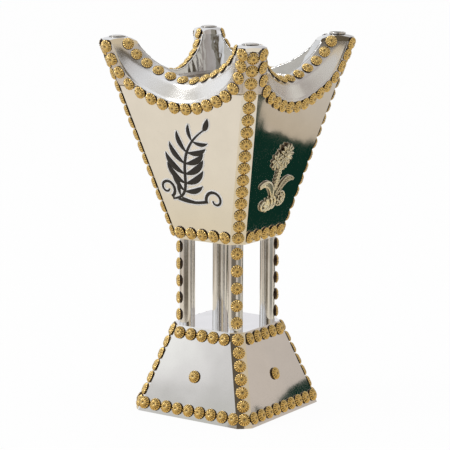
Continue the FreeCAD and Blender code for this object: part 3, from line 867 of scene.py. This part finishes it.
def ornament_strokes():
    """The lines and widths of a leafy branch that leans across the panel."""
    branch = bezier(((-26.0, 40.0), (6.0, 44.0), (-26.0, 80.0), (18.0, 108.0)), 41)
    strokes = [(branch, 3.2 * np.sin(np.linspace(0.4, 2.9, 41)) ** 0.6)]
    for k, reach in ((5, 13.0), (10, 17.0), (15, 20.0), (20, 21.0), (25, 19.0), (30, 17.0), (35, 13.0)):
        step = branch[k + 1] - branch[k]
        ahead = step / np.linalg.norm(step)
        side = np.array((-ahead[1], ahead[0]))
        for way in (-1, 1):
            foot = branch[k]
            bend = foot + ahead * reach * 0.25 + side * way * reach * 0.75
            tip = foot + ahead * reach * 0.85 + side * way * reach * 0.95
            strokes.append((leaf_line(foot, bend, tip), leaf_widths(reach * 0.30)))
    end = branch[-1]
    strokes.append((leaf_line(end, end + (5.0, 4.0), end + (7.0, 12.0)), leaf_widths(5.6)))
    for centre, size, first, last in (((-30.5, 50.0), 9.0, -65, 330), ((20.0, 42.0), 10.0, 200, -170)):
        strokes.append((spiral(centre, size, 2.2, first, last, 40), np.linspace(3.2, 1.8, 40)))
    foot = leaf_line((-20.0, 40.6), (-4.0, 36.0), (10.0, 40.0))
    strokes.append((foot, np.linspace(3.0, 2.8, LEAF_STEPS)))
    return strokes


def add_ornament():
    """The branch and its outline on the front and on the back."""
    black, pale = Relief(), Relief()
    for line, widths in ornament_strokes():
        black.stroke(line, widths, scaled(LEAF_FLAT, ORNAMENT_HIGH))
        pale.stroke(line, np.asarray(widths) + OUTLINE_WIDE, scaled(LEAF_FLAT, OUTLINE_HIGH))
    black.pieces("leaf_ornament", (0, 2), ornament_black, "ornament_black")
    pale.pieces("leaf_ornament_outline", (0, 2), ornament_edge, "steel_sheet")


add_ornament()


# Camera: fitted to the photograph

CAMERA_TURN = math.radians(34.296)
CAMERA_AWAY = 1.7477
CAMERA_HIGH = 0.4826
CAMERA_DIP = math.radians(10.182)
CAMERA_ROLL = math.radians(-0.219)
SENSOR = 36.0
FOCAL = 1944.9 / 450 * SENSOR
SHIFT = -2.78 / 450


def add_camera():
    """The photograph's viewpoint."""
    lens = bpy.data.cameras.new("viewpoint")
    lens.sensor_width = SENSOR
    lens.lens = FOCAL
    lens.shift_x = SHIFT
    lens.clip_end = 50.0
    camera = bpy.data.objects.new("viewpoint", lens)
    bpy.context.scene.collection.objects.link(camera)
    ahead = Vector((-math.sin(CAMERA_TURN), math.cos(CAMERA_TURN), 0))
    right = Vector((math.cos(CAMERA_TURN), math.sin(CAMERA_TURN), 0))
    look = ahead * math.cos(CAMERA_DIP) - Vector((0, 0, 1)) * math.sin(CAMERA_DIP)
    up = right.cross(look)
    turn = Matrix((right, up, -look)).transposed() @ Matrix.Rotation(-CAMERA_ROLL, 3, "Z")
    place = -ahead * CAMERA_AWAY + Vector((0, 0, CAMERA_HIGH))
    camera.matrix_world = Matrix.Translation(place) @ turn.to_4x4()
    bpy.context.scene.camera = camera


add_camera()


# Studio: white floor and world, and the room that the polished sheet shows

FLOOR_HALF = 8.0
SHADOW_SHARE = 0.05


def ray_mix(tree, kind, seen_by_it, seen_by_others):
    """A mix that shows one shader to a kind of ray, such as Camera, and another to the rest."""
    path = node(tree, "ShaderNodeLightPath")
    mix = node(tree, "ShaderNodeMixShader")
    tree.links.new(path.outputs["Is " + kind + " Ray"], mix.inputs["Fac"])
    tree.links.new(seen_by_others.outputs[0], mix.inputs[1])
    tree.links.new(seen_by_it.outputs[0], mix.inputs[2])
    return mix


def add_floor():
    """A floor white to the camera; the steel sees a cream square on it, then taupe, then pale grey."""
    mat = bpy.data.materials.new("studio_floor")
    mat.use_nodes = True
    tree = mat.node_tree
    tree.nodes.clear()
    link = tree.links.new
    white = node(tree, "ShaderNodeEmission", in_Color=(1, 1, 1, 1), in_Strength=1.0)
    matt = node(tree, "ShaderNodeBsdfDiffuse", in_Color=(0.9, 0.9, 0.9, 1))
    seen = node(tree, "ShaderNodeMixShader", in_Fac=SHADOW_SHARE)
    link(white.outputs[0], seen.inputs[1])
    link(matt.outputs[0], seen.inputs[2])
    place = node(tree, "ShaderNodeTexCoord")
    cloud = node(tree, "ShaderNodeTexNoise", in_Scale=9.0, in_Detail=2.0)
    link(place.outputs["Object"], cloud.inputs["Vector"])
    plain_place = node(tree, "ShaderNodeVectorMath", operation="ABSOLUTE")
    link(place.outputs["Object"], plain_place.inputs[0])
    apart = node(tree, "ShaderNodeSeparateXYZ")
    link(plain_place.outputs["Vector"], apart.inputs[0])
    reach = node(tree, "ShaderNodeMath", operation="MAXIMUM")
    link(apart.outputs["X"], reach.inputs[0])
    link(apart.outputs["Y"], reach.inputs[1])
    wavy = node(tree, "ShaderNodeMath", operation="MULTIPLY_ADD")
    wavy.inputs[1].default_value = 0.06
    link(cloud.outputs["Fac"], wavy.inputs[0])
    link(reach.outputs["Value"], wavy.inputs[2])
    share = node(tree, "ShaderNodeMath", operation="DIVIDE")
    share.inputs[1].default_value = 2.0
    link(wavy.outputs["Value"], share.inputs[0])
    tone = ramp(tree, [(0.110, linear(222, 206, 174)), (0.140, linear(226, 214, 190)),
                       (0.18, linear(231, 221, 202)), (0.250, linear(233, 223, 206)),
                       (0.262, linear(212, 198, 184)), (0.30, linear(191, 176, 154)),
                       (0.42, linear(200, 192, 180)), (0.55, linear(228, 228, 228)),
                       (1.0, linear(240, 243, 246))])
    link(share.outputs["Value"], tone.inputs["Fac"])
    mirrored = node(tree, "ShaderNodeEmission", in_Strength=1.0)
    link(tone.outputs["Color"], mirrored.inputs["Color"])
    mix = ray_mix(tree, "Camera", seen, ray_mix(tree, "Glossy", mirrored, matt))
    out = node(tree, "ShaderNodeOutputMaterial")
    link(mix.outputs[0], out.inputs["Surface"])
    mesh = bpy.data.meshes.new("studio_floor")
    corners = [(x * FLOOR_HALF, y * FLOOR_HALF, 0) for x, y in ((-1, -1), (1, -1), (1, 1), (-1, 1))]
    mesh.from_pydata(corners, [], [(0, 1, 2, 3)])
    mesh.materials.append(mat)
    floor = bpy.data.objects.new("studio_floor", mesh)
    bpy.context.scene.collection.objects.link(floor)


def add_card(name, corners, colour):
    """A coloured card outside the view, seen only by the polished surfaces."""
    mat = bpy.data.materials.new(name)
    mat.use_nodes = True
    tree = mat.node_tree
    tree.nodes.clear()
    glow = node(tree, "ShaderNodeEmission", in_Color=(*colour, 1), in_Strength=1.0)
    mix = ray_mix(tree, "Glossy", glow, node(tree, "ShaderNodeBsdfTransparent"))
    out = node(tree, "ShaderNodeOutputMaterial")
    tree.links.new(mix.outputs[0], out.inputs["Surface"])
    mesh = bpy.data.meshes.new(name)
    mesh.from_pydata([tuple(c) for c in corners], [], [tuple(range(len(corners)))])
    mesh.materials.append(mat)
    card = bpy.data.objects.new(name, mesh)
    bpy.context.scene.collection.objects.link(card)
    card.visible_camera = False
    card.visible_diffuse = False
    card.visible_shadow = False


def bearing(degrees, away, z):
    """A point at a bearing from -Y towards +X."""
    a = math.radians(degrees)
    return (away * math.sin(a), -away * math.cos(a), z)


def wall_card(name, first, last, away, low, high, colour):
    """An upright card between two bearings."""
    add_card(name, [bearing(first, away, low), bearing(last, away, low),
                    bearing(last, away, high), bearing(first, away, high)], colour)


def shade_card(name, first, last, away, low, high, dark_side, dark_foot, stops):
    """An upright card that goes through the stops across and towards its foot, with faint clouds."""
    wall_card(name, first, last, away, low, high, (0.5, 0.5, 0.5))
    tree = bpy.data.materials[name].node_tree
    link = tree.links.new
    place = node(tree, "ShaderNodeTexCoord")
    apart = node(tree, "ShaderNodeSeparateXYZ")
    link(place.outputs["Generated"], apart.inputs[0])
    across = node(tree, "ShaderNodeMapRange", in_From_Min=dark_side[0], in_From_Max=dark_side[1],
                  in_To_Max=0.45)
    link(apart.outputs["X"], across.inputs["Value"])
    down = node(tree, "ShaderNodeMapRange", in_From_Min=dark_foot[0], in_From_Max=dark_foot[1])
    link(apart.outputs["Z"], down.inputs["Value"])
    steep = node(tree, "ShaderNodeMath", operation="POWER")
    steep.inputs[1].default_value = 3.0
    link(down.outputs["Result"], steep.inputs[0])
    foot = node(tree, "ShaderNodeMath", operation="MULTIPLY_ADD")
    foot.inputs[1].default_value = 0.5
    link(steep.outputs["Value"], foot.inputs[0])
    link(across.outputs["Result"], foot.inputs[2])
    cloud = node(tree, "ShaderNodeTexNoise", in_Scale=14.0, in_Detail=2.0)
    link(place.outputs["Object"], cloud.inputs["Vector"])
    uneven = node(tree, "ShaderNodeMath", operation="MULTIPLY_ADD")
    uneven.inputs[1].default_value = 0.16
    link(cloud.outputs["Fac"], uneven.inputs[0])
    link(foot.outputs["Value"], uneven.inputs[2])
    tone = ramp(tree, stops)
    link(uneven.outputs["Value"], tone.inputs["Fac"])
    link(tone.outputs["Color"], tree.nodes["Emission"].inputs["Color"])


def add_world():
    """White to the camera, an even pale room to all else, brighter at the left."""
    world = bpy.data.worlds.new("studio")
    bpy.context.scene.world = world
    world.use_nodes = True
    tree = world.node_tree
    tree.nodes.clear()
    link = tree.links.new
    white = node(tree, "ShaderNodeBackground", in_Color=(1, 1, 1, 1), in_Strength=1.0)
    even = node(tree, "ShaderNodeBackground", in_Color=(0.95, 0.95, 0.96, 1), in_Strength=0.9)
    place = node(tree, "ShaderNodeTexCoord")
    toward = node(tree, "ShaderNodeVectorMath", operation="DOT_PRODUCT")
    toward.inputs[1].default_value = Vector((-0.80, -0.30, 0.52)).normalized()
    link(place.outputs["Generated"], toward.inputs[0])
    tone = ramp(tree, [(0.0, linear(150, 140, 132)), (0.35, linear(178, 170, 164)),
                       (0.62, linear(200, 198, 198)), (0.80, linear(238, 240, 243)),
                       (1.0, linear(250, 251, 252))])
    half = node(tree, "ShaderNodeMath", operation="MULTIPLY_ADD")
    half.inputs[1].default_value = 0.5
    half.inputs[2].default_value = 0.5
    link(toward.outputs["Value"], half.inputs[0])
    link(half.outputs["Value"], tone.inputs["Fac"])
    room = node(tree, "ShaderNodeBackground", in_Strength=1.0)
    link(tone.outputs["Color"], room.inputs["Color"])
    mix = ray_mix(tree, "Camera", white, ray_mix(tree, "Glossy", room, even))
    out = node(tree, "ShaderNodeOutputWorld")
    link(mix.outputs[0], out.inputs["Surface"])


def add_lamp(name, place, aim, size, power):
    """A soft square lamp."""
    light = bpy.data.lights.new(name, "AREA")
    light.shape = "SQUARE"
    light.size = size
    light.energy = power
    lamp = bpy.data.objects.new(name, light)
    lamp.location = place
    lamp.rotation_euler = (Vector(aim) - Vector(place)).to_track_quat("-Z", "Y").to_euler()
    bpy.context.scene.collection.objects.link(lamp)


# Cards: two green ones, then walls as bearings, distance and heights, then level and far ones

GREEN = (15, 45, 35)
GREEN_CLOTH = ((0.186, 0.20), (0.33, 0.44), (0.425, 0.600), (0.422, 0.617), (0.382, 0.564),
               (0.356, 0.537), (0.347, 0.542), (0.345, 0.562), (0.337, 0.562), (0.330, 0.563),
               (0.324, 0.571), (0.314, 0.569), (0.315, 0.584), (0.316, 0.68), (0.186, 0.68))
CLOTH_UP = 0.002
GREEN_FOLD = ((136.1, 0.054), (136.2, 0.058), (136.8, 0.076), (137.6, 0.062), (138.4, 0.056),
              (139.0, 0.064), (140.0, 0.071), (141.2, 0.0735), (142.3, 0.0750), (143.0, 0.0750),
              (144.0, 0.0730), (145.0, 0.0720), (145.0, 0.054))
FOLD_AWAY = 0.6
WALLS = (("slate_card", 108, 114, 0.42, 0.0, 0.10, (92, 94, 90)),
         ("dark_card_behind", 170, 202, 0.62, 0.0, 0.20, (48, 52, 44)),
         ("dark_card_left", 226, 254, 0.50, 0.0, 0.30, (88, 78, 58)),
         ("taupe_card", -12, 45, 0.42, 0.0, 0.10, (112, 102, 86)),
         ("taupe_card_edge", -24, -12, 0.42, 0.0, 0.10, (140, 130, 116)),
         ("grey_card_right", 74, 108, 0.42, 0.0, 0.10, (146, 142, 130)),
         ("grey_wall_left_high", 296, 350, 2.4, 1.02, 2.60, (206, 203, 196)),
         ("pale_wall_right", 134, 158, 2.6, 0.76, 1.60, (218, 214, 205)),
         ("cream_wall_right", 126, 144, 2.6, 0.0, 0.75, (200, 189, 178)),
         ("grey_wall_right", 144, 162, 2.6, 0.0, 0.75, (196, 186, 176)),
         ("dim_wall", 20, 56, 2.4, 0.30, 3.4, (92, 82, 66)),
         ("cream_wall", 57, 84, 2.4, 0.30, 2.0, (208, 192, 164)),
         ("grey_wall_far", 84, 122, 2.4, 0.30, 2.0, (206, 202, 195)),
         ("pale_wall_behind", 206, 232, 2.4, 0.0, 1.0, (236, 236, 240)))
FLAT_CARDS = (("dim_ceiling_right",
               ((0.45, -1.4, 2.3), (1.5, -1.4, 2.3), (1.5, -0.2, 2.3), (0.45, -0.2, 2.3)),
               (140, 136, 126)),
              ("ceiling_left", ((-1.9, -0.7, 2.3), (-0.6, -0.7, 2.3), (-0.6, 0.8, 2.3), (-1.9, 0.8, 2.3)),
               (226, 222, 214)),
              ("pale_wall_high", ((-0.6, 2.0, 1.2), (0.8, 2.0, 1.2), (0.8, 2.0, 2.6), (-0.6, 2.0, 2.6)),
               (236, 232, 224)))

add_floor()
add_world()
add_lamp("key_lamp", (-1.3, -1.2, 1.9), (0, 0, 0.2), 0.6, 9.0)
add_card("green_cloth", [(x, y, CLOTH_UP) for x, y in GREEN_CLOTH], linear(*GREEN))
add_card("green_fold", [bearing(turn, FOLD_AWAY, z) for turn, z in GREEN_FOLD], linear(*GREEN))
for *shape, colour in WALLS:
    wall_card(*shape, linear(*colour))
shade_card("grey_wall_left", 312, 338, 2.4, 0.30, 1.00, (0.43, 0.60), (0.62, 0.40),
           [(0.08, linear(250, 251, 248)), (0.33, linear(227, 226, 225)), (0.53, linear(205, 204, 202)),
            (1.0, linear(196, 196, 190))])
for name, corners, colour in FLAT_CARDS:
    add_card(name, corners, linear(*colour))

scene = bpy.context.scene
scene.view_settings.view_transform = "Standard"

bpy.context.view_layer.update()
